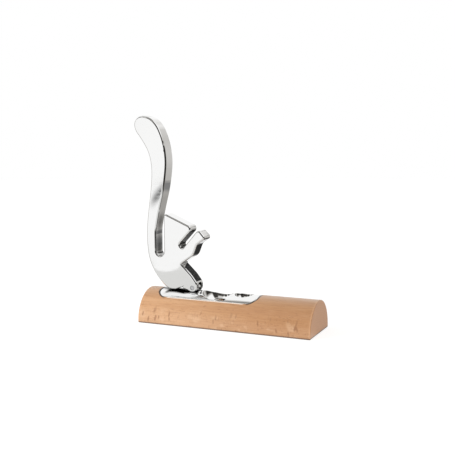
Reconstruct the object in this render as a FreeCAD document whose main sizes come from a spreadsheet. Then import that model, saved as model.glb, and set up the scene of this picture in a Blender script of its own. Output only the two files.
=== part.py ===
"""Squirrel nutcracker: a chrome squirrel hinged on a chrome nut plate let into a half-round beech bar.

Frame: the origin is the middle of the footprint on the surface that the feet stand on, +X runs along the bar
from the tail end to the plain end, and +Z is up. Millimetres.
Each piece is drawn in the coordinates of what carries it, and its Placement puts it in the frame: the bar and
all that is fixed to it are drawn about the middle of the bar, the squirrel and its pin about the hinge axis.
"""
import FreeCAD, Part
import math
import os
import re

from FreeCAD import Placement, Rotation, Vector

doc = FreeCAD.newDocument("squirrel_nutcracker")

# ---------------------------------------------------------------- driving dimensions
SIZES = {
    # bar
    "bar_length": 200.0,
    "bar_round": 32.0,        # radius of the half-round section
    "bar_axis_z": 3.7,        # height of that radius's centre above the surface
    "bar_edge": 0.8,          # softened edges
    "bar_offset": 7.75,       # middle of the bar, from the middle of the whole footprint
    # nut plate
    "plate_middle": -24.6,
    "plate_length": 116.8,
    "plate_width": 38.4,
    "plate_corner": 11.0,
    "plate_floor": 23.2,      # height of its flat underside
    "plate_edge": 0.8,
    "gap_sides": 0.15,        # between plate and wood
    "gap_ends": 0.7,
    # nut bowls
    "walnut_x": -16.0,
    "walnut_z": 36.8,
    "walnut_radius": 18.0,
    "walnut_wall": 2.4,
    "hazelnut_x": 14.5,
    "hazelnut_z": 36.2,
    "hazelnut_radius": 10.2,
    "bowl_rim": 0.8,          # rounding of the bowls' rims
    "bowl_seat_radius": 17.5,  # clearance in the wood for the back of the walnut bowl
    "bowl_seat_gap": 0.3,
    # hinge
    "hinge_x": -44.1,
    "hinge_z": 39.4,
    "pin_radius": 2.5,
    "pin_length": 17.6,
    "pin_chamfer": 0.4,
    "running_gap": 0.04,      # radial, between the pin and the lug
    "lug_width": 6.0,
    "lug_radius": 5.0,
    "lug_start": 25.2,        # height at which the lug's stem starts, inside the plate
    "washer_thick": 0.5,
    "washer_radius": 4.4,
    "side_play": 0.1,
    "well_radius": 7.5,       # hollow in the plate that the foot turns in
    "well_width": 19.4,
    # squirrel
    "squirrel_width": 18.0,
    "squirrel_edge": 2.0,
    "slot_radius": 5.5,       # room for the lug above the pin
    "slot_reach": 9.0,        # how far the slot for the lug runs on, out of the foot
    "slot_corner": 0.5,
    # screws that hold the plate
    "screw_rear_x": -72.0,
    "screw_front_x": 28.4,
    "screw_radius": 2.0,
    "screw_length": 17.2,
    "screw_head_radius": 3.8,
    "screw_head_height": 2.6,
    "screw_socket": 1.5,      # half width of the hexagon socket
    "socket_depth": 1.6,
    "screw_hole_radius": 2.3,
    "screw_seat_z": 11.0,
    "thread_depth": 6.0,      # into the plate
    "counterbore_radius": 5.2,
    "screw_washer_radius": 4.8,
    "screw_washer_thick": 0.8,
    # feet
    "foot_radius": 6.0,
    "foot_height": 2.0,
    "foot_stands_out": 0.3,
    "foot_edge": 0.4,
    "foot_fit": 0.1,
    "foot_x": 84.0,
    "foot_y": 20.0,
}

sheet = doc.addObject("Spreadsheet::Sheet", "Sizes")
for row, (alias, value) in enumerate(SIZES.items(), start=1):
    sheet.set(f"A{row}", alias)
    sheet.set(f"B{row}", str(value))
    sheet.setAlias(f"B{row}", alias)
doc.recompute()


def size(alias):
    return float(sheet.get(alias))


# ---------------------------------------------------------------- helpers
ALONG_X = Rotation(Vector(0, 1, 0), 90)
ALONG_Y = Rotation(Vector(1, 0, 0), -90)
TOLERANCE = 1e-5
SAMPLE_TOLERANCE = 1e-3  # for points on curves that were worked out by approximation
subparts = []


def bind(obj, **expressions):
    """Tie properties of an object to the sheet. A double underscore stands for a dot."""
    for name, expression in expressions.items():
        text = re.sub("[a-z_]+", lambda word: f"Sizes.{word[0]}" if word[0] in SIZES else word[0], expression)
        obj.setExpression(name.replace("__", "."), text)
    return obj


def cylinder(name, radius, height, x="0", y="0", z="0", turn=None):
    shape = doc.addObject("Part::Cylinder", name)
    if turn is not None:
        shape.Placement = Placement(Vector(), turn)
    return bind(
        shape, Radius=radius, Height=height,
        Placement__Base__x=x, Placement__Base__y=y, Placement__Base__z=z,
    )


def box(name, length, width, height, x, y, z):
    shape = doc.addObject("Part::Box", name)
    return bind(
        shape, Length=length, Width=width, Height=height,
        Placement__Base__x=x, Placement__Base__y=y, Placement__Base__z=z,
    )


def sphere(name, radius, x, z):
    shape = doc.addObject("Part::Sphere", name)
    return bind(shape, Radius=radius, Placement__Base__x=x, Placement__Base__z=z)


def cut(name, base, tools):
    """base less every tool."""
    for number, tool in enumerate(tools, start=1):
        result = doc.addObject("Part::Cut", f"{name}_{number}")
        result.Base = base
        result.Tool = tool
        base = result
    return base


def fuse(name, shapes):
    result = doc.addObject("Part::MultiFuse", name)
    result.Shapes = shapes
    return result


def common(name, shapes):
    result = doc.addObject("Part::MultiCommon", name)
    result.Shapes = shapes
    return result


def round_edges(name, base, radius, wanted, feature="Part::Fillet"):
    """Fillet or chamfer each edge of base for which wanted(edge) is true."""
    doc.recompute()
    result = doc.addObject(feature, name)
    result.Base = base
    result.Edges = [
        (number, radius, radius)
        for number, edge in enumerate(base.Shape.Edges, start=1)
        if wanted(edge)
    ]
    return result


def at_height(z):
    """Condition for round_edges: the edge is centred on this height."""
    return lambda edge: abs(edge.CenterOfMass.z - z) < TOLERANCE


def deliver(obj, label, x="bar_offset", z="0"):
    """Name a sub-part and place it in the frame."""
    obj.Label = label
    bind(obj, Placement__Base__x=x, Placement__Base__z=z)
    subparts.append(obj)
    return obj


def origin_plane(body, role):
    return next(f for f in body.Origin.OriginFeatures if f.Role == role)


def sketch_on(body, name, role="XZ_Plane"):
    sketch = body.newObject("Sketcher::SketchObject", name)
    sketch.AttachmentSupport = [(origin_plane(body, role), "")]
    sketch.MapMode = "FlatFace"
    return sketch


FLOWING = None  # radius of a corner on a flowing curve: as large as its two sides allow


def corner_reaches(points, radii, half_angles):
    """How far each corner's arc reaches along its two sides."""
    count = len(points)
    reaches = [
        None if radius is FLOWING else radius / math.tan(half)
        for radius, half in zip(radii, half_angles)
    ]
    filled = list(reaches)
    for index in range(count):
        if reaches[index] is not None:
            continue
        rooms = []
        for other in (index - 1, (index + 1) % count):
            side = (points[other] - points[index]).Length
            rooms.append(side / 2 if reaches[other] is None else side - reaches[other])
        filled[index] = min(rooms)
    return filled


def rounded_outline(corners):
    """Closed outline through (x, y, radius) corners: straight sides joined by tangent arcs."""
    points = [Vector(x, y, 0) for x, y, radius in corners]
    count = len(points)
    backs = [(points[i - 1] - points[i]).normalize() for i in range(count)]
    aheads = [(points[(i + 1) % count] - points[i]).normalize() for i in range(count)]
    half_angles = [back.getAngle(ahead) / 2 for back, ahead in zip(backs, aheads)]
    reaches = corner_reaches(points, [corner[2] for corner in corners], half_angles)
    geometry = []
    for i in range(count):
        arc_start = points[i] + backs[i] * reaches[i]
        arc_end = points[i] + aheads[i] * reaches[i]
        if reaches[i] > 0:
            radius = reaches[i] * math.tan(half_angles[i])
            middle = (backs[i] + aheads[i]).normalize()
            arc_middle = points[i] + middle * (radius / math.sin(half_angles[i]) - radius)
            geometry.append(Part.Arc(arc_start, arc_middle, arc_end))
        following = (i + 1) % count
        next_start = points[following] + backs[following] * reaches[following]
        if (next_start - arc_end).Length > TOLERANCE:
            geometry.append(Part.LineSegment(arc_end, next_start))
    return geometry


# ---------------------------------------------------------------- bar
def make_bar():
    """Half-round beech bar with the plate's recess, the screws' holes and the feet's shallow seats."""
    round_bar = cylinder(
        "bar_round_stock", "bar_round", "bar_length", x="-0.5 * bar_length", z="bar_axis_z", turn=ALONG_X
    )
    upper_half = box(
        "bar_upper_half", "bar_length", "2.2 * bar_round", "2 * bar_round",
        "-0.5 * bar_length", "-1.1 * bar_round", "foot_stands_out",
    )
    blank = round_edges(
        "bar_blank", common("bar_section", [round_bar, upper_half]), size("bar_edge"), lambda edge: True
    )
    recess = doc.addObject("Part::Extrusion", "plate_recess")
    recess.Base = plate_outline("recess_outline", size("gap_sides"), size("gap_ends"))
    recess.Dir = Vector(0, 0, 1)
    recess.Solid = True
    bind(recess, LengthFwd="bar_round", Placement__Base__z="plate_floor")
    bowl_seat = cylinder(
        "bowl_seat", "bowl_seat_radius", "bar_round",
        x="walnut_x", z="walnut_z - walnut_radius - walnut_wall - bowl_seat_gap",
    )
    tools = [recess, bowl_seat]
    for end in ("rear", "front"):
        tools.append(cylinder(f"{end}_hole", "screw_hole_radius", "bar_round", x=f"screw_{end}_x"))
        tools.append(cylinder(f"{end}_counterbore", "counterbore_radius", "screw_seat_z", x=f"screw_{end}_x"))
    for name, x, y in foot_places():
        tools.append(cylinder(f"{name}_seat", "foot_radius + foot_fit", "foot_height", x=x, y=y))
    deliver(cut("bar", blank, tools), "base_block")


def plate_outline(name, gap_sides=0.0, gap_ends=0.0):
    """Rounded rectangle of the plate seen from above, let out by a gap all round."""
    half_x = size("plate_length") / 2 + gap_ends
    half_y = size("plate_width") / 2 + gap_sides
    middle = size("plate_middle")
    corner = size("plate_corner")
    outline = doc.addObject("Sketcher::SketchObject", name)
    path = [
        (middle + half_x, -half_y, corner),
        (middle + half_x, half_y, corner),
        (middle - half_x, half_y, corner),
        (middle - half_x, -half_y, corner),
    ]
    outline.addGeometry(rounded_outline(path), False)
    return outline


def foot_places():
    for along, x in (("rear", "-foot_x"), ("front", "foot_x")):
        for side, y in (("left", "foot_y"), ("right", "-foot_y")):
            yield f"foot_{along}_{side}", x, y


# ---------------------------------------------------------------- nut plate
def is_bowl_rim(edge):
    """True where the middle of an edge lies both on the plate's curved top and on a bowl's sphere."""
    middle = edge.valueAt((edge.FirstParameter + edge.LastParameter) / 2)
    axis = Vector(middle.x, 0, size("bar_axis_z"))
    if abs((middle - axis).Length - size("bar_round")) > SAMPLE_TOLERANCE:
        return False
    for nut in ("walnut", "hazelnut"):
        centre = Vector(size(f"{nut}_x"), 0, size(f"{nut}_z"))
        if abs((middle - centre).Length - size(f"{nut}_radius")) < SAMPLE_TOLERANCE:
            return True
    return False


def make_plate():
    """Chrome casting flush with the bar: two nut bowls, the well for the foot and the hinge lug in it."""
    slab = doc.addObject("Part::Extrusion", "plate_slab")
    slab.Base = plate_outline("slab_outline")
    slab.Dir = Vector(0, 0, 1)
    slab.Solid = True
    bind(slab, LengthFwd="bar_round", Placement__Base__z="plate_floor")
    curve = cylinder(
        "plate_curve", "bar_round", "bar_length", x="-0.5 * bar_length", z="bar_axis_z", turn=ALONG_X
    )
    floor = size("plate_floor")
    body = round_edges(
        "plate_blank", common("plate_body", [slab, curve]), size("plate_edge"),
        lambda edge: edge.BoundBox.ZMin > floor + TOLERANCE,
    )
    bowl_back = sphere("bowl_back", "walnut_radius + walnut_wall", "walnut_x", "walnut_z")
    below = box(
        "below_floor", "3 * walnut_radius", "3 * walnut_radius", "plate_floor",
        "walnut_x - 1.5 * walnut_radius", "-1.5 * walnut_radius", "foot_stands_out",
    )
    with_back = fuse("plate_with_back", [body, common("bowl_underside", [bowl_back, below])])
    well = cylinder(
        "foot_well", "well_radius", "well_width", x="hinge_x", y="-0.5 * well_width", z="hinge_z",
        turn=ALONG_Y,
    )
    bowls = [
        sphere("walnut_bowl", "walnut_radius", "walnut_x", "walnut_z"),
        sphere("hazelnut_bowl", "hazelnut_radius", "hazelnut_x", "hazelnut_z"),
    ]
    rimmed = round_edges(
        "plate_bowl_rims", cut("plate_bowls", with_back, bowls), size("bowl_rim"), is_bowl_rim
    )
    hollowed = cut("plate_hollowed", rimmed, [well])
    lug_top = cylinder(
        "lug_top", "lug_radius", "lug_width", x="hinge_x", y="-0.5 * lug_width", z="hinge_z", turn=ALONG_Y
    )
    lug_stem = box(
        "lug_stem", "2 * lug_radius", "lug_width", "hinge_z - lug_start",
        "hinge_x - lug_radius", "-0.5 * lug_width", "lug_start",
    )
    holes = [
        cylinder(
            "lug_hole", "pin_radius + running_gap", "2 * lug_width", x="hinge_x", y="-lug_width", z="hinge_z",
            turn=ALONG_Y,
        )
    ]
    for end in ("rear", "front"):
        holes.append(
            cylinder(f"{end}_thread", "screw_radius", "thread_depth", x=f"screw_{end}_x", z="plate_floor")
        )
    plate = cut("plate", fuse("plate_with_lug", [hollowed, lug_top, lug_stem]), holes)
    deliver(plate, "nut_plate")


# ---------------------------------------------------------------- squirrel
def squirrel_outline():
    """Side view, from the hinge axis: +x towards the bowls and +y up.

    It runs from the haunch's flat seat along the sole, round the toe, up the leg to the jaw, round the hand,
    the mouth, the nose and the ear, down the back of the head, round the bottom of the slot, up the inside of
    the tail, round its tip and down its back to the seat again.
    """
    seat = -3.4
    slot_left, slot_right, slot_bottom = -45.1, -35.0, 33.75
    slot_radius = (slot_right - slot_left) / 2
    tail_top, tail_end = 189.8, -71.4
    return [
        (-20.7, seat, 3.0),                     # end of the haunch's seat
        (-14.5, -0.8, 1.5),                     # arch of the sole
        (-5.5, -3.2, 3.0),
        (-2.5, -5.2, 3.0),                      # heel of the knuckle
        (5.5, -5.2, 5.1),                       # toe
        (5.5, 5.6, 5.0),
        (-1.4, 14.5, 30.0),                     # front of the leg
        (-13.6, 25.9, 1.0),                     # jaw
        (1.1, 36.0, 12.0),                      # underside of the arm
        (5.9, 48.4, 6.0),
        (16.1, 56.0, 2.9),                      # hand
        (7.4, 65.6, 2.9),
        (-12.0, 42.8, 3.0),                     # mouth
        (-16.6, 47.3, 3.0),
        (1.2, 66.8, 4.8),                       # nose
        (slot_right, 82.0, 2.4),                # ear
        (slot_right, slot_bottom, slot_radius),
        (slot_left, slot_bottom, slot_radius),
        (-45.1, 52.0, FLOWING),                 # inside of the tail
        (-45.2, 63.0, FLOWING),
        (-42.8, 76.0, FLOWING),
        (-39.3, 91.5, FLOWING),
        (-35.1, 107.2, FLOWING),
        (-32.4, 125.0, FLOWING),
        (-31.2, 139.0, FLOWING),
        (-32.9, 154.6, FLOWING),
        (-37.2, 168.7, FLOWING),
        (-42.8, 180.1, FLOWING),
        (-51.3, 187.9, FLOWING),
        (-60.8, tail_top, FLOWING),             # tip
        (tail_end, tail_top, 10.0),
        (tail_end, 177.5, FLOWING),
        (-69.5, 172.5, FLOWING),                # back of the tail
        (-61.9, 162.9, FLOWING),
        (-54.2, 150.6, FLOWING),
        (-50.7, 138.1, FLOWING),
        (-49.9, 126.0, FLOWING),
        (-51.3, 107.0, FLOWING),
        (-54.4, 86.0, FLOWING),
        (-56.8, 65.0, FLOWING),
        (-56.8, 45.8, FLOWING),                 # haunch
        (-54.2, 28.4, FLOWING),
        (-46.3, 12.9, FLOWING),
        (-36.2, 1.7, FLOWING),
        (-29.5, seat, FLOWING),
    ]


def make_squirrel():
    body = doc.addObject("PartDesign::Body", "squirrel")
    outline = sketch_on(body, "squirrel_outline")
    outline.addGeometry(rounded_outline(squirrel_outline()), False)
    blank = body.newObject("PartDesign::Pad", "squirrel_blank")
    blank.Profile = outline
    blank.Midplane = True
    bind(blank, Length="squirrel_width")
    doc.recompute()

    half = size("squirrel_width") / 2
    rims = [
        f"Edge{number}"
        for number, edge in enumerate(blank.Shape.Edges, start=1)
        if abs(abs(edge.CenterOfMass.y) - half) < TOLERANCE
    ]
    rounded = body.newObject("PartDesign::Fillet", "squirrel_edges")
    rounded.Base = (blank, rims)
    bind(rounded, Radius="squirrel_edge")
    doc.recompute()

    # fold between the haunch and the foot
    crease_behind = Vector(-17.4, -3.2, 0)
    crease_below = Vector(-13.0, -2.4, 0)
    crease_top = Vector(-10.2, 2.4, 0)
    crease = sketch_on(body, "sole_crease")
    crease.addGeometry(
        [
            Part.LineSegment(crease_behind, crease_below),
            Part.LineSegment(crease_below, crease_top),
            Part.LineSegment(crease_top, crease_behind),
        ],
        False,
    )
    crease_cut = body.newObject("PartDesign::Pocket", "crease_cut")
    crease_cut.Profile = crease
    crease_cut.Midplane = True
    bind(crease_cut, Length="2 * squirrel_width")

    slot = sketch_on(body, "lug_slot")
    room = size("slot_radius")
    reach = size("slot_reach")
    corner = size("slot_corner")
    path = [
        (reach, -reach, corner),
        (reach, room, corner),
        (-room, room, room - corner),
        (-room, -reach, corner),
    ]
    slot.addGeometry(rounded_outline(path), False)
    slot_cut = body.newObject("PartDesign::Pocket", "slot_cut")
    slot_cut.Profile = slot
    slot_cut.Midplane = True
    bind(slot_cut, Length="lug_width + 2 * washer_thick + 2 * side_play")

    hole = sketch_on(body, "pin_hole")
    hole.addGeometry(Part.Circle(Vector(), Vector(0, 0, 1), size("pin_radius")), False)
    hole_cut = body.newObject("PartDesign::Pocket", "pin_hole_cut")
    hole_cut.Profile = hole
    hole_cut.Midplane = True
    bind(hole_cut, Length="2 * squirrel_width")
    body.Tip = hole_cut
    deliver(body, "squirrel_lever", x="bar_offset + hinge_x", z="hinge_z")


# ---------------------------------------------------------------- hinge
def make_hinge():
    """Pin pressed into the two cheeks of the foot, and a thin washer on each side of the lug."""
    rod = cylinder("pin_rod", "pin_radius", "pin_length", y="-0.5 * pin_length", turn=ALONG_Y)
    pin = round_edges("pin", rod, size("pin_chamfer"), lambda edge: len(edge.Vertexes) == 1, "Part::Chamfer")
    deliver(pin, "hinge_pin", x="bar_offset + hinge_x", z="hinge_z")
    for side, start in (
        ("left", "0.5 * lug_width + side_play"),
        ("right", "-0.5 * lug_width - side_play - washer_thick"),
    ):
        disc = cylinder(f"washer_{side}_disc", "washer_radius", "washer_thick", y=start, turn=ALONG_Y)
        hole = cylinder(
            f"washer_{side}_hole", "pin_radius + 2 * running_gap", "2 * squirrel_width",
            y="-squirrel_width", turn=ALONG_Y,
        )
        washer = cut(f"washer_{side}", disc, [hole])
        deliver(washer, f"hinge_washer_{side}", x="bar_offset + hinge_x", z="hinge_z")


# ---------------------------------------------------------------- screws and feet
def make_screws():
    """Pan-head socket screws from below, each with a washer in its counterbore."""
    head_z = "screw_seat_z - screw_washer_thick - screw_head_height"
    corner_per_flat = 2 / math.sqrt(3)
    for end in ("rear", "front"):
        head = cylinder(f"{end}_head", "screw_head_radius", "screw_head_height", z=head_z)
        head_edge = size("screw_head_height") / 3
        head_bottom = size("screw_seat_z") - size("screw_washer_thick") - size("screw_head_height")
        domed = round_edges(f"{end}_domed_head", head, head_edge, at_height(head_bottom))
        shank = cylinder(
            f"{end}_shank", "screw_radius", "screw_length", z="screw_seat_z - screw_washer_thick"
        )
        socket = doc.addObject("Part::Prism", f"{end}_socket")
        socket.Polygon = 6
        bind(
            socket, Circumradius=f"screw_socket * {corner_per_flat}", Height="socket_depth",
            Placement__Base__z=head_z,
        )
        screw = cut(f"{end}_screw", fuse(f"{end}_solid", [domed, shank]), [socket])
        deliver(screw, f"plate_screw_{end}", x=f"bar_offset + screw_{end}_x")
        disc = cylinder(
            f"{end}_disc", "screw_washer_radius", "screw_washer_thick", z="screw_seat_z - screw_washer_thick"
        )
        hole = cylinder(f"{end}_disc_hole", "screw_hole_radius", "bar_round")
        washer = cut(f"{end}_washer", disc, [hole])
        deliver(washer, f"screw_washer_{end}", x=f"bar_offset + screw_{end}_x")


def make_feet():
    for name, x, y in foot_places():
        pad = cylinder(f"{name}_pad", "foot_radius", "foot_height", y=y)
        foot = round_edges(f"{name}_rounded", pad, size("foot_edge"), at_height(0))
        deliver(foot, name, x=f"bar_offset + ({x})")


make_bar()
make_plate()
make_squirrel()
make_hinge()
make_screws()
make_feet()
doc.recompute()

# ---------------------------------------------------------------- checks and files
for obj in doc.Objects:
    if "Invalid" in obj.State or "Error" in obj.State:
        raise RuntimeError(f"{obj.Name} failed: {obj.State}")
for part in subparts:
    if part.Shape.isNull() or not part.Shape.isValid():
        raise RuntimeError(f"{part.Label} has no valid shape")

os.makedirs("parts", exist_ok=True)
for part in subparts:
    part.Shape.exportStep(f"parts/{part.Label}.step")
    bounds = part.Shape.BoundBox
    print(
        f"{part.Label}: {len(part.Shape.Solids)} solid, {part.Shape.Volume / 1000:.2f} cm3, "
        f"x {bounds.XMin:.2f} to {bounds.XMax:.2f}, y {bounds.YMin:.2f} to {bounds.YMax:.2f}, "
        f"z {bounds.ZMin:.2f} to {bounds.ZMax:.2f}"
    )
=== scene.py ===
"""Looks of the squirrel nutcracker: materials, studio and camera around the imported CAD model."""
import math

import bpy
from mathutils import Matrix, Vector


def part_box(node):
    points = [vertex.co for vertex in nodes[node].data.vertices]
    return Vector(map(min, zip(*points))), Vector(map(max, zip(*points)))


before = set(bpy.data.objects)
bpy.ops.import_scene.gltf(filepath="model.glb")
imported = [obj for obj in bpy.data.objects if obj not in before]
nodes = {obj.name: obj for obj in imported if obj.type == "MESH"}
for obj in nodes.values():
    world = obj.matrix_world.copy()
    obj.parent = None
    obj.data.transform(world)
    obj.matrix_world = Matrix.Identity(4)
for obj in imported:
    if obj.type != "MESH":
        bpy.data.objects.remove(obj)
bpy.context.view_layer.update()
bpy.context.scene.view_settings.view_transform = "Standard"

MM = 0.001


# ---------------------------------------------------------------- places on the bar
bar_low, bar_high = (Vector(corner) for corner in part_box("base_block"))
BAR_MIDDLE = (bar_low.x + bar_high.x) / 2
BAR_HALF = (bar_high.x - bar_low.x) / 2
BAR_TOP = bar_high.z
plate_low, plate_high = (Vector(corner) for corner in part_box("nut_plate"))
PLATE_MIDDLE = (plate_low.x + plate_high.x) / 2
GAP_ENDS = 0.7 * MM   # between the plate and the wood
GAP_SIDES = 0.15 * MM
RECESS_HALF_X = (plate_high.x - plate_low.x) / 2 + GAP_ENDS
RECESS_HALF_Y = (plate_high.y - plate_low.y) / 2 + GAP_SIDES
RECESS_CORNER = 11.0 * MM + GAP_ENDS
RECESS_STRAIGHT = RECESS_HALF_X - RECESS_CORNER


# ---------------------------------------------------------------- node helpers
class Graph:
    """Short calls to build one material's nodes."""

    def __init__(self, name):
        self.material = bpy.data.materials.new(name)
        self.material.use_nodes = True
        self.tree = self.material.node_tree
        self.shader = next(n for n in self.tree.nodes if n.type == "BSDF_PRINCIPLED")
        self.position = self.add("ShaderNodeTexCoord").outputs["Object"]

    def add(self, kind, **settings):
        node = self.tree.nodes.new(kind)
        for name, value in settings.items():
            setattr(node, name, value)
        return node

    def join(self, value, socket):
        if isinstance(value, bpy.types.NodeSocket):
            self.tree.links.new(value, socket)
        else:
            socket.default_value = value

    def set(self, **values):
        """Inputs of the principled shader. An underscore stands for a space."""
        for name, value in values.items():
            self.join(value, self.shader.inputs[name.replace("_", " ")])

    def stretched(self, scale, turn=(0, 0, 0), shift=(0, 0, 0), source=None):
        node = self.add("ShaderNodeMapping")
        self.join(self.position if source is None else source, node.inputs["Vector"])
        node.inputs["Scale"].default_value = scale
        node.inputs["Rotation"].default_value = turn
        node.inputs["Location"].default_value = shift
        return node.outputs["Vector"]

    def warped(self, amount, scale):
        """Position shifted about by a soft noise, for curved marks."""
        noise = self.add("ShaderNodeTexNoise")
        self.join(self.position, noise.inputs["Vector"])
        noise.inputs["Scale"].default_value = scale
        noise.inputs["Detail"].default_value = 1.0
        shift = self.add("ShaderNodeVectorMath", operation="MULTIPLY_ADD")
        self.join(noise.outputs["Color"], shift.inputs[0])
        shift.inputs[1].default_value = (amount, amount, amount)
        self.join(self.position, shift.inputs[2])
        return shift.outputs[0]

    def noise(self, vector, scale=1.0, detail=2.0, roughness=0.5, distortion=0.0):
        node = self.add("ShaderNodeTexNoise")
        self.join(vector, node.inputs["Vector"])
        node.inputs["Scale"].default_value = scale
        node.inputs["Detail"].default_value = detail
        node.inputs["Roughness"].default_value = roughness
        node.inputs["Distortion"].default_value = distortion
        return node.outputs["Fac"]

    def cells(self, vector):
        """Distance to the nearest of scattered points."""
        node = self.add("ShaderNodeTexVoronoi")
        self.join(vector, node.inputs["Vector"])
        node.inputs["Scale"].default_value = 1.0
        return node.outputs["Distance"]

    def ramp(self, value, low, high, to_low=0.0, to_high=1.0):
        node = self.add("ShaderNodeMapRange", interpolation_type="SMOOTHSTEP")
        self.join(value, node.inputs["Value"])
        limits = (("From Min", low), ("From Max", high), ("To Min", to_low), ("To Max", to_high))
        for name, number in limits:
            node.inputs[name].default_value = number
        return node.outputs["Result"]

    def math(self, operation, first, second=0.0):
        node = self.add("ShaderNodeMath", operation=operation)
        self.join(first, node.inputs[0])
        self.join(second, node.inputs[1])
        return node.outputs[0]

    def mix(self, factor, first, second):
        node = self.add("ShaderNodeMix", data_type="RGBA")
        self.join(factor, node.inputs["Factor"])
        for index, value in ((6, first), (7, second)):
            self.join(value, node.inputs[index])
        return node.outputs[2]

    def axis(self, vector, letter):
        node = self.add("ShaderNodeSeparateXYZ")
        self.join(vector, node.inputs[0])
        return node.outputs[letter]

    def bump(self, height, strength, distance, normal=None):
        node = self.add("ShaderNodeBump")
        self.join(height, node.inputs["Height"])
        node.inputs["Strength"].default_value = strength
        node.inputs["Distance"].default_value = distance
        if normal is not None:
            self.join(normal, node.inputs["Normal"])
        return node.outputs["Normal"]


def colour(red, green, blue):
    return (red, green, blue, 1.0)


# ---------------------------------------------------------------- materials
WOOD_LIGHT = (0.600, 0.335, 0.168)
WOOD_DEEP = (0.520, 0.270, 0.122)
WOOD_BAND = (0.440, 0.215, 0.092)
WOOD_PALE = (0.600, 0.365, 0.212)
WOOD_DARK = (0.360, 0.172, 0.076)
WOOD_FLECK = (0.262, 0.106, 0.038)
WOOD_PALE_SPOT_AND_HIGHLIGHT = (0.680, 0.440, 0.270)
END_LIGHT = (0.600, 0.294, 0.130)
END_DEEP = (0.490, 0.226, 0.088)
FOOT_DARK = (0.110, 0.055, 0.028)
EDGE_BRIGHT = (0.95, 0.85, 0.76)
JOINT_DARK = (0.045, 0.027, 0.017)

# between which two heights the wood's marks, its painted shadow along the foot and its painted light,
# shade and highlights fade
FOOT_SHADOW = (0.9 * MM, 2.6 * MM)
LOW_SIDE = (10 * MM, 25 * MM)
UPPER_SIDE = (24 * MM, 34 * MM)
CREST_TOP = (BAR_TOP - 3.2 * MM, BAR_TOP - 0.7 * MM)
# and between which two distances from the crest, the plate's edge and the recess
CREST_WIDTH = (3 * MM, 12 * MM)
PLATE_EDGE_WIDTH = (0.6 * MM, 1.2 * MM)
PLATE_EDGE_END = (RECESS_STRAIGHT - 0.4 * MM, RECESS_STRAIGHT - 3.4 * MM)
JOINT_WIDTH = (0.8 * MM, 1.8 * MM)
# from each end of the bar
END_GRAIN = (1.6 * MM, 0.6 * MM)
ARRIS_START = (2.4 * MM, 1.2 * MM)
ARRIS_STOP = (0.4 * MM, 0.0)


def chrome(name, tint=(0.93, 0.93, 0.925)):
    """Mirror chrome plating: faint haze, wiping marks, and painted shade that darkens the crevices."""
    g = Graph(name)
    haze = g.noise(g.position, scale=38, detail=4, roughness=0.6)
    wipe = g.noise(g.stretched((60, 60, 420), turn=(0.3, 0.9, 0.2)), detail=2)
    marks = g.math("MULTIPLY", haze, wipe)
    warmth = g.noise(g.position, scale=14, detail=1)
    # painted shade: the base colour goes near black where ambient occlusion finds surfaces close by
    crevice = g.add("ShaderNodeAmbientOcclusion", samples=12)
    crevice.inputs["Distance"].default_value = 0.015
    plating = g.mix(g.ramp(warmth, 0.35, 0.65), colour(*tint), colour(*(v * 0.985 for v in tint)))
    g.set(
        Base_Color=g.mix(g.ramp(crevice.outputs["AO"], 0.30, 0.72), colour(0.035, 0.034, 0.032), plating),
        Roughness=g.ramp(marks, 0.12, 0.42, 0.028, 0.075),
        Metallic=1.0,
    )
    waves = g.bump(g.noise(g.position, scale=17, detail=1), 0.06, 0.004)
    g.set(Normal=g.bump(g.noise(g.position, scale=1500, detail=2), 0.02, 0.00004, waves))
    return g.material


def gap_shadow_line(g, x, y):
    """Painted shadow in the wood along the two rounded ends of the plate's recess, where the gap lies in
    shade.
    """
    from_middle = g.math("ABSOLUTE", g.math("SUBTRACT", x, PLATE_MIDDLE))
    past_x = g.math("SUBTRACT", from_middle, RECESS_STRAIGHT)
    past_y = g.math("SUBTRACT", g.math("ABSOLUTE", y), RECESS_HALF_Y - RECESS_CORNER)
    out_x = g.math("MAXIMUM", past_x, 0.0)
    out_y = g.math("MAXIMUM", past_y, 0.0)
    squares = g.math("ADD", g.math("MULTIPLY", out_x, out_x), g.math("MULTIPLY", out_y, out_y))
    outside = g.math("SUBTRACT", g.math("SQRT", squares), RECESS_CORNER)
    near_end = g.ramp(past_x, -1 * MM, 4 * MM)
    return g.math("MULTIPLY", g.ramp(outside, *JOINT_WIDTH, 1.0, 0.0), near_end)


def long_grain(g, x, z, low_side, fibres):
    """Colour of the wood along the grain, with painted shade that makes it richer towards the bar's plain
    end and painted light that makes it paler low on the sides.
    """
    drift = g.noise(g.stretched((6, 30, 30)), detail=2)
    bands = g.noise(g.stretched((5, 130, 130)), detail=3, roughness=0.6, distortion=0.3)
    wood = g.mix(g.ramp(drift, 0.35, 0.68), colour(*WOOD_LIGHT), colour(*WOOD_DEEP))
    wood = g.mix(g.ramp(bands, 0.40, 0.66, 0.0, 0.45), wood, colour(*WOOD_BAND))
    # painted light: paler low on the sides, as the floor lights them from below, most towards the left
    low_painted_light = g.math("MULTIPLY", low_side, g.ramp(x, 0.0, 0.09, 0.45, 0.12))
    wood = g.mix(low_painted_light, wood, colour(*WOOD_PALE))
    # painted shade: darker towards the plain end, as the light falls from the left, less so near the top
    shade_to_plain_end = g.ramp(x, -0.07, 0.08, 0.0, 0.64)
    wood = g.mix(g.math("MULTIPLY", g.ramp(z, *UPPER_SIDE, 1.0, 0.4), shade_to_plain_end), wood, colour(*WOOD_BAND))
    pale_noise = g.noise(g.stretched((75, 60, 120), shift=(0.1, 0, 0)), detail=2)
    pale_spots = g.math("MULTIPLY", g.ramp(pale_noise, 0.54, 0.68, 0.0, 0.42), low_side)
    wood = g.mix(pale_spots, wood, colour(*WOOD_PALE_SPOT_AND_HIGHLIGHT))
    wood = g.mix(g.ramp(fibres, 0.51, 0.66, 0.0, 0.42), wood, colour(*WOOD_DARK))
    return g.mix(g.ramp(fibres, 0.48, 0.34, 0.0, 0.30), wood, colour(*WOOD_PALE))


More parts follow.
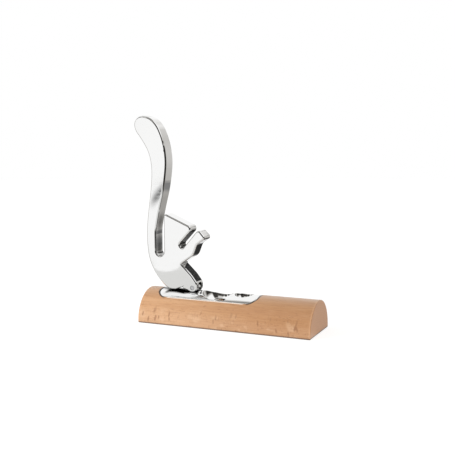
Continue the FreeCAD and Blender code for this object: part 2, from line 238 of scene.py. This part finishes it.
def rays(g, wood, wavy, low_side):
    """Upright ray flecks and a finer hatching, low on the sides."""
    fleck_spots = g.cells(g.stretched((245, 90, 80), source=wavy))
    sparse = g.ramp(g.noise(g.stretched((95, 60, 60), shift=(0.3, 0, 0)), detail=1), 0.42, 0.55)
    flecks = g.math("MULTIPLY", g.ramp(fleck_spots, 0.19, 0.35, 0.66, 0.0), sparse)
    wood = g.mix(g.math("MULTIPLY", flecks, low_side), wood, colour(*WOOD_FLECK))
    hatch_spots = g.cells(g.stretched((820, 240, 210), source=wavy))
    hatch = g.math("MULTIPLY", g.ramp(hatch_spots, 0.14, 0.34, 0.26, 0.0), low_side)
    return g.mix(hatch, wood, colour(*WOOD_FLECK))


def end_grain(g):
    """Growth rings and pores of the bar's two ends."""
    rings = g.add("ShaderNodeTexWave", wave_type="RINGS", rings_direction="X")
    g.join(g.stretched((1, 1, 1), shift=(0, 0.012, 0.055)), rings.inputs["Vector"])
    for name, value in (("Scale", 130), ("Distortion", 1.6), ("Detail", 2)):
        rings.inputs[name].default_value = value
    late_wood = g.ramp(rings.outputs["Fac"], 0.2, 0.9, 0.0, 0.25)
    wood = g.mix(late_wood, colour(*END_LIGHT), colour(*END_DEEP))
    pores = g.ramp(g.cells(g.stretched((300, 1500, 1500))), 0.10, 0.30, 0.35, 0.0)
    return g.mix(pores, wood, colour(*WOOD_FLECK))


def edge_light_and_shade(g, wood, x, y, z, from_end):
    """Painted highlights on the arris at the ends, on the crest and beside the plate's long sides; painted
    shadow along the foot and in a line round the plate's ends.
    """
    # painted highlight on the rounded arris near each end
    arris_start = g.ramp(from_end, *ARRIS_START, 0.0, 0.26)
    arris = g.math("MULTIPLY", arris_start, g.ramp(from_end, *ARRIS_STOP, 1.0, 0.0))
    wood = g.mix(arris, wood, colour(*WOOD_PALE_SPOT_AND_HIGHLIGHT))
    # painted shadow along the foot, where the bar meets the floor
    wood = g.mix(g.ramp(z, *FOOT_SHADOW, 0.96, 0.0), wood, colour(*FOOT_DARK))
    from_crest = g.math("ABSOLUTE", y)
    # painted highlight along the crest
    crest = g.math("MULTIPLY", g.ramp(from_crest, *CREST_WIDTH, 0.32, 0.0), g.ramp(z, *CREST_TOP))
    wood = g.mix(crest, wood, colour(*WOOD_PALE_SPOT_AND_HIGHLIGHT))
    # painted highlight on the wood's edge beside the plate's long sides
    beside = g.math("SUBTRACT", from_crest, RECESS_HALF_Y)
    along_plate = g.ramp(g.math("ABSOLUTE", g.math("SUBTRACT", x, PLATE_MIDDLE)), *PLATE_EDGE_END)
    edge_highlight = g.math("MULTIPLY", g.ramp(beside, *PLATE_EDGE_WIDTH, 0.75, 0.0), along_plate)
    wood = g.mix(edge_highlight, wood, colour(*EDGE_BRIGHT))
    # painted shadow in the gap round the plate's ends
    return g.mix(g.math("MULTIPLY", gap_shadow_line(g, x, y), 0.92), wood, colour(*JOINT_DARK))


def beech(name):
    """Oiled beech: long bands, short dark dashes, and upright ray flecks low on its sides, with painted
    light and shade.
    """
    g = Graph(name)
    x = g.axis(g.position, "X")
    y = g.axis(g.position, "Y")
    z = g.axis(g.position, "Z")
    low_side = g.ramp(z, *LOW_SIDE, 1.0, 0.0)
    from_end = g.math("SUBTRACT", BAR_HALF, g.math("ABSOLUTE", g.math("SUBTRACT", x, BAR_MIDDLE)))
    wavy = g.warped(0.0034, 165)
    fibres = g.noise(g.stretched((60, 850, 850)), detail=4, roughness=0.7)
    wood = long_grain(g, x, z, low_side, fibres)

    dash_spots = g.cells(g.stretched((150, 520, 520), source=wavy))
    patches = g.ramp(g.noise(g.position, scale=85, detail=1), 0.44, 0.60)
    dashes = g.math("MULTIPLY", g.ramp(dash_spots, 0.16, 0.34, 1.0, 0.0), patches)
    wood = g.mix(g.math("MULTIPLY", dashes, 0.36), wood, colour(*WOOD_FLECK))
    wood = rays(g, wood, wavy, low_side)
    wood = g.mix(g.ramp(from_end, *END_GRAIN), wood, end_grain(g))
    wood = edge_light_and_shade(g, wood, x, y, z, from_end)

    g.set(
        Base_Color=wood,
        Roughness=g.ramp(fibres, 0.2, 0.8, 0.36, 0.52),
        Specular_IOR_Level=0.55,
        Coat_Weight=0.60,
        Coat_Roughness=0.30,
        Normal=g.bump(fibres, 0.12, 0.00025, g.bump(dashes, 0.25, -0.00008)),
    )
    return g.material


def steel(name, tint, rough):
    """Machined steel with fine turning marks."""
    g = Graph(name)
    marks = g.noise(g.stretched((900, 6000, 900)), detail=2)
    stain = g.noise(g.position, scale=260, detail=2)
    g.set(
        Base_Color=g.mix(g.ramp(stain, 0.35, 0.7), colour(*tint), colour(*(v * 0.86 for v in tint))),
        Roughness=g.ramp(marks, 0.3, 0.7, rough * 0.7, rough * 1.3),
        Metallic=1.0,
        Normal=g.bump(marks, 0.15, 0.00002),
    )
    return g.material


def plastic(name, tint, rough, grain_scale, grain_depth):
    """Plain plastic or rubber with a fine moulded grain."""
    g = Graph(name)
    grain = g.noise(g.position, scale=grain_scale, detail=3)
    dust = g.noise(g.position, scale=grain_scale / 9, detail=2)
    dusty = colour(*(min(1.0, v * 1.5) for v in tint))
    g.set(
        Base_Color=g.mix(g.ramp(dust, 0.4, 0.75), colour(*tint), dusty),
        Roughness=g.ramp(grain, 0.3, 0.7, rough - 0.06, rough + 0.06),
        Normal=g.bump(grain, 0.3, grain_depth),
    )
    return g.material


zinc = steel("zinc_plated_steel", (0.66, 0.67, 0.69), 0.30)
rubber = plastic("foot_rubber_black", (0.028, 0.028, 0.030), 0.72, 2600, 0.00006)
nylon = plastic("washer_nylon_natural", (0.62, 0.61, 0.57), 0.45, 1800, 0.00002)
LOOKS = {
    "base_block": beech("beech_oiled"),
    "nut_plate": chrome("chrome_plate_mirror"),
    "squirrel_lever": chrome("chrome_squirrel_mirror"),
    "hinge_pin": steel("ground_pin_steel", (0.72, 0.72, 0.74), 0.22),
}
for node_name, node_object in nodes.items():
    if node_name in LOOKS:
        look = LOOKS[node_name]
    elif node_name.startswith("foot"):
        look = rubber
    elif node_name.startswith("hinge_washer"):
        look = nylon
    else:
        look = zinc
    for material_slot in node_object.material_slots:
        material_slot.material = look


# ---------------------------------------------------------------- camera
AIM = Vector((0.0025, 0.0, 0.1077))
AZIMUTH = math.radians(23.38)
ELEVATION = math.radians(6.585)
DISTANCE = 0.86785

camera_data = bpy.data.cameras.new("camera")
camera_data.lens = 63.04
camera_data.sensor_width = 36.0
camera = bpy.data.objects.new("camera", camera_data)
bpy.context.scene.collection.objects.link(camera)
level = math.cos(ELEVATION)
towards = Vector((-math.sin(AZIMUTH) * level, math.cos(AZIMUTH) * level, -math.sin(ELEVATION)))
camera.location = AIM - towards * DISTANCE
camera.rotation_euler = towards.to_track_quat("-Z", "Y").to_euler()
camera_data.clip_start = 0.01
bpy.context.scene.camera = camera


# ---------------------------------------------------------------- studio
def add_object(name, mesh, material):
    piece = bpy.data.objects.new(name, mesh)
    bpy.context.scene.collection.objects.link(piece)
    mesh.materials.append(material)
    return piece


def glow_graph(material, strength, tint=(1.0, 1.0, 1.0)):
    """Empties a material's or world's tree and gives it one emission."""
    material.use_nodes = True
    tree = material.node_tree
    tree.nodes.clear()
    glow = tree.nodes.new("ShaderNodeEmission")
    glow.inputs["Color"].default_value = colour(*tint)
    glow.inputs["Strength"].default_value = strength
    return tree, glow


def glowing(name, strength, tint=(1.0, 1.0, 1.0)):
    material = bpy.data.materials.new(name)
    tree, glow = glow_graph(material, strength, tint)
    output = tree.nodes.new("ShaderNodeOutputMaterial")
    tree.links.new(glow.outputs[0], output.inputs["Surface"])
    return material


def soft_glowing(name, strength, half_width, half_height, solid_share):
    """Glow that fades to nothing towards the edges of a card of the given size."""
    material = bpy.data.materials.new(name)
    tree, glow = glow_graph(material, strength)
    output = tree.nodes.new("ShaderNodeOutputMaterial")
    place = tree.nodes.new("ShaderNodeTexCoord")
    split = tree.nodes.new("ShaderNodeSeparateXYZ")
    tree.links.new(place.outputs["Object"], split.inputs[0])
    masks = []
    for axis, half in (("X", half_width), ("Y", half_height)):
        size = tree.nodes.new("ShaderNodeMath")
        size.operation = "ABSOLUTE"
        tree.links.new(split.outputs[axis], size.inputs[0])
        fade = tree.nodes.new("ShaderNodeMapRange")
        fade.interpolation_type = "SMOOTHSTEP"
        tree.links.new(size.outputs[0], fade.inputs["Value"])
        ends = (("From Min", half * solid_share), ("From Max", half), ("To Min", 1.0), ("To Max", 0.0))
        for socket, value in ends:
            fade.inputs[socket].default_value = value
        masks.append(fade.outputs["Result"])
    both = tree.nodes.new("ShaderNodeMath")
    both.operation = "MULTIPLY"
    tree.links.new(masks[0], both.inputs[0])
    tree.links.new(masks[1], both.inputs[1])
    clear = tree.nodes.new("ShaderNodeBsdfTransparent")
    blend = tree.nodes.new("ShaderNodeMixShader")
    tree.links.new(both.outputs[0], blend.inputs[0])
    tree.links.new(clear.outputs[0], blend.inputs[1])
    tree.links.new(glow.outputs[0], blend.inputs[2])
    tree.links.new(blend.outputs[0], output.inputs["Surface"])
    return material


def only_in_gloss(piece):
    piece.visible_camera = False
    piece.visible_diffuse = False
    piece.visible_shadow = False
    piece.visible_transmission = False


def flat_card(name, outline, height, material):
    """Level card on the table, seen only in reflections."""
    mesh = bpy.data.meshes.new(name)
    mesh.from_pydata([(x, y, height) for x, y in outline], [], [tuple(range(len(outline)))])
    only_in_gloss(add_object(name, mesh, material))


def standing_card(name, centre, facing, half_width, half_height, material, lean=0.0):
    """Upright card that faces a point, seen only in reflections."""
    mesh = bpy.data.meshes.new(name)
    corners = [(sx * half_width, sy * half_height, 0.0) for sx, sy in ((-1, -1), (1, -1), (1, 1), (-1, 1))]
    mesh.from_pydata(corners, [], [(0, 1, 2, 3)])
    piece = add_object(name, mesh, material)
    turn = (Vector(facing) - Vector(centre)).to_track_quat("Z", "Y").to_matrix().to_4x4()
    piece.matrix_world = Matrix.Translation(centre) @ turn @ Matrix.Rotation(lean, 4, "Z")
    only_in_gloss(piece)


FLOOR_RADIUS = 3.0
FLOOR_SIDES = 128


def make_floor():
    """Pale floor that glows a little, as a lit white sweep does."""
    turns = [2 * math.pi * i / FLOOR_SIDES for i in range(FLOOR_SIDES)]
    corners = [(FLOOR_RADIUS * math.cos(turn), FLOOR_RADIUS * math.sin(turn), 0.0) for turn in turns]
    mesh = bpy.data.meshes.new("floor")
    mesh.from_pydata(corners, [], [tuple(range(FLOOR_SIDES))])
    material = bpy.data.materials.new("pale_floor")
    material.use_nodes = True
    shader = next(n for n in material.node_tree.nodes if n.type == "BSDF_PRINCIPLED")
    shader.inputs["Base Color"].default_value = colour(0.36, 0.36, 0.36)
    shader.inputs["Roughness"].default_value = 0.9
    shader.inputs["Specular IOR Level"].default_value = 0.0
    shader.inputs["Emission Color"].default_value = colour(1, 1, 1)
    shader.inputs["Emission Strength"].default_value = 0.82
    floor = add_object("floor", mesh, material)
    floor.visible_glossy = False


def make_world():
    """White room. The chrome also reflects the studio's darker sides, by azimuth from +Y and by height."""
    world = bpy.data.worlds.new("studio")
    bpy.context.scene.world = world
    world.use_nodes = True
    tree = world.node_tree
    tree.nodes.clear()

    def node(kind, **settings):
        made = tree.nodes.new(kind)
        for name, value in settings.items():
            setattr(made, name, value)
        return made

    def link(value, socket):
        if isinstance(value, bpy.types.NodeSocket):
            tree.links.new(value, socket)
        else:
            socket.default_value = value

    def calculate(operation, first, second=0.0):
        made = node("ShaderNodeMath", operation=operation)
        link(first, made.inputs[0])
        link(second, made.inputs[1])
        return made.outputs[0]

    def fade(value, low, high, to_low=0.0, to_high=1.0):
        made = node("ShaderNodeMapRange", interpolation_type="SMOOTHSTEP")
        link(value, made.inputs["Value"])
        limits = (("From Min", low), ("From Max", high), ("To Min", to_low), ("To Max", to_high))
        for name, number in limits:
            link(number, made.inputs[name])
        return made.outputs["Result"]

    def window(value, rise_from, rise_to, fall_from, fall_to):
        falling = fade(value, fall_from, fall_to, 1.0, 0.0)
        return calculate("MULTIPLY", fade(value, rise_from, rise_to), falling)

    direction = node("ShaderNodeTexCoord").outputs["Generated"]
    split = node("ShaderNodeSeparateXYZ")
    link(direction, split.inputs[0])
    # azimuth runs from 0 at +Y through 90 at +X and 180 at -Y to 360
    turn = calculate("ARCTAN2", split.outputs["X"], split.outputs["Y"])
    degrees = calculate("MULTIPLY", turn, 180 / math.pi)
    azimuth = calculate("MODULO", calculate("ADD", degrees, 360.0), 360.0)
    height = calculate("MULTIPLY", calculate("ARCSINE", split.outputs["Z"]), 180 / math.pi)

    tone = 1.0
    for azimuths, tones in STUDIO_SIDES:
        by_height = node("ShaderNodeValToRGB")
        link(calculate("DIVIDE", calculate("ADD", height, 90.0), 180.0), by_height.inputs["Fac"])
        marks = by_height.color_ramp.elements
        for index, (angle, value) in enumerate(tones):
            mark = marks[index] if index < 2 else marks.new(1.0)
            mark.position = (angle + 90) / 180
            mark.color = colour(value, value, value)
        side = node("ShaderNodeMix", data_type="FLOAT")
        link(window(azimuth, *azimuths), side.inputs[0])
        link(1.0, side.inputs[2])
        link(by_height.outputs["Color"], side.inputs[3])
        tone = calculate("MULTIPLY", tone, side.outputs[0])

    path = node("ShaderNodeLightPath")
    # what lights the wood is weaker from above, what the camera sees is plain white
    strength = fade(split.outputs["Z"], 0.1, 0.9, DIFFUSE_LEVEL, DIFFUSE_TOP)
    for flag, value in (("Is Camera Ray", 1.0), ("Is Glossy Ray", tone)):
        choice = node("ShaderNodeMix", data_type="FLOAT")
        link(path.outputs[flag], choice.inputs[0])
        link(strength, choice.inputs[2])
        link(value, choice.inputs[3])
        strength = choice.outputs[0]
    chosen = node("ShaderNodeBackground")
    warm = node("ShaderNodeMix", data_type="RGBA")
    link(strength, warm.inputs["Factor"])
    link(colour(1.0, 0.95, 0.87), warm.inputs[6])
    link(colour(1, 1, 1), warm.inputs[7])
    link(warm.outputs[2], chosen.inputs["Color"])
    link(strength, chosen.inputs["Strength"])
    output = node("ShaderNodeOutputWorld")
    link(chosen.outputs[0], output.inputs["Surface"])


def area_light(name, place, aim, width, height, power):
    """Soft light that the chrome doesn't mirror."""
    data = bpy.data.lights.new(name, "AREA")
    data.shape = "RECTANGLE"
    data.size = width
    data.size_y = height
    data.energy = power
    light = bpy.data.objects.new(name, data)
    light.location = place
    light.rotation_euler = (Vector(aim) - Vector(place)).to_track_quat("-Z", "Y").to_euler()
    light.visible_glossy = False
    bpy.context.scene.collection.objects.link(light)


# Sides of the studio that the chrome shows. Azimuths between which each fades in and out, then its
# brightness by height, all in degrees.
STUDIO_SIDES = [
    (  # backdrop's right part, with its foot
        (2, 14, 56, 66),
        [(-90, 0.08), (-30, 0.14), (-22, 0.24), (-15, 0.42), (-8, 0.52), (0, 0.60), (8, 0.62), (16, 0.58),
         (22, 0.66), (28, 1.0)],
    ),
    (  # grey edge of the backdrop, right of +Y
        (-2, -1, 5, 13),
        [(-90, 1.0), (8, 1.0), (16, 0.80), (50, 0.84), (60, 1.0)],
    ),
    (  # and left of +Y
        (346, 354, 361, 362),
        [(-90, 1.0), (10, 1.0), (20, 0.88), (50, 0.90), (60, 1.0)],
    ),
    (  # dark right side and front right
        (36, 62, 168, 186),
        [(-90, 0.03), (16, 0.03), (24, 0.5), (32, 1.0)],
    ),
    (  # dark room behind the camera, above the white sweep
        (142, 156, 202, 212),
        [(-90, 1.0), (9, 1.0), (15, 0.04), (43, 0.05), (51, 0.7)],
    ),
    (  # the same room further right, as the nut bowls show it
        (100, 112, 146, 158),
        [(-90, 1.0), (9, 1.0), (15, 0.04), (56, 0.05), (60, 0.5)],
    ),
    (  # the same room further left, where it is lower
        (202, 212, 234, 250),
        [(-90, 1.0), (9, 1.0), (15, 0.04), (38, 0.05), (44, 1.0)],
    ),
    (  # left side
        (244, 262, 322, 338),
        [(-90, 0.42), (10, 0.42), (20, 1.0)],
    ),
    (  # dim ceiling straight above
        (-2, -1, 361, 362),
        [(-90, 1.0), (61, 1.0), (66, 0.26)],
    ),
]
DIFFUSE_LEVEL = 0.80
DIFFUSE_TOP = 0.50
make_floor()
make_world()
area_light("key_left", (-0.75, -0.75, 0.45), (-0.02, 0, 0.03), 0.5, 0.5, 9.5)

table = glowing("table_in_reflections", 0.74, (1.0, 1.0, 0.985))
table_corners = [(-0.6, 0.0), (-0.5, -0.5), (0.0, -0.6), (0.3, -0.5), (0.25, 0.0)]
flat_card("table_in_front", table_corners, -0.001, table)

# white sweep on the left, whose rounded edge crosses the haunch in the reflection
white = glowing("white_card", 1.0)
sweep_corners = [
    (-1.5, -0.9), (-0.296, -0.382), (-0.256, -0.322), (-0.233, -0.295), (-0.219, -0.288), (-0.213, -0.298),
    (-0.213, -0.320), (-0.224, -0.356), (-0.1, -1.6), (-1.5, -1.6),
]
flat_card("white_sweep", sweep_corners, 0.0, white)

# dark strip that the front of the leg mirrors
dark = glowing("dark_card", 0.035)
strip_place = Vector((0.0745, 0.5, 0.2877))
strip_faces = Vector((strip_place.x, 0.0, strip_place.z))
standing_card("dark_behind_leg", strip_place, strip_faces, 0.085, 0.022, dark, lean=-0.515)

# soft dark patches on the table behind, seen low in the faces that look towards the plain end
for name, tone, place, half_x, half_y in (
    ("shade_behind", 0.03, Vector((0.0, 0.19, 0.002)), 0.11, 0.11),
    ("olive_behind", 0.22, Vector((0.19, 0.62, 0.001)), 0.15, 0.17),
):
    patch = soft_glowing(f"{name}_tone", tone, half_x, half_y, 0.35)
    standing_card(name, place, place + Vector((0, 0, 1)), half_x, half_y, patch)

# thin streak across the tail
STREAK_HALF_WIDTH = 0.009
STREAK_HALF_HEIGHT = 0.037
streak = soft_glowing("streak", 0.15, STREAK_HALF_WIDTH, STREAK_HALF_HEIGHT, 0.05)
standing_card(
    "streak_card", (-0.3115, -0.4475, 0.1087), (-0.083, -0.009, 0.1372),
    STREAK_HALF_WIDTH, STREAK_HALF_HEIGHT, streak, lean=0.50,
)
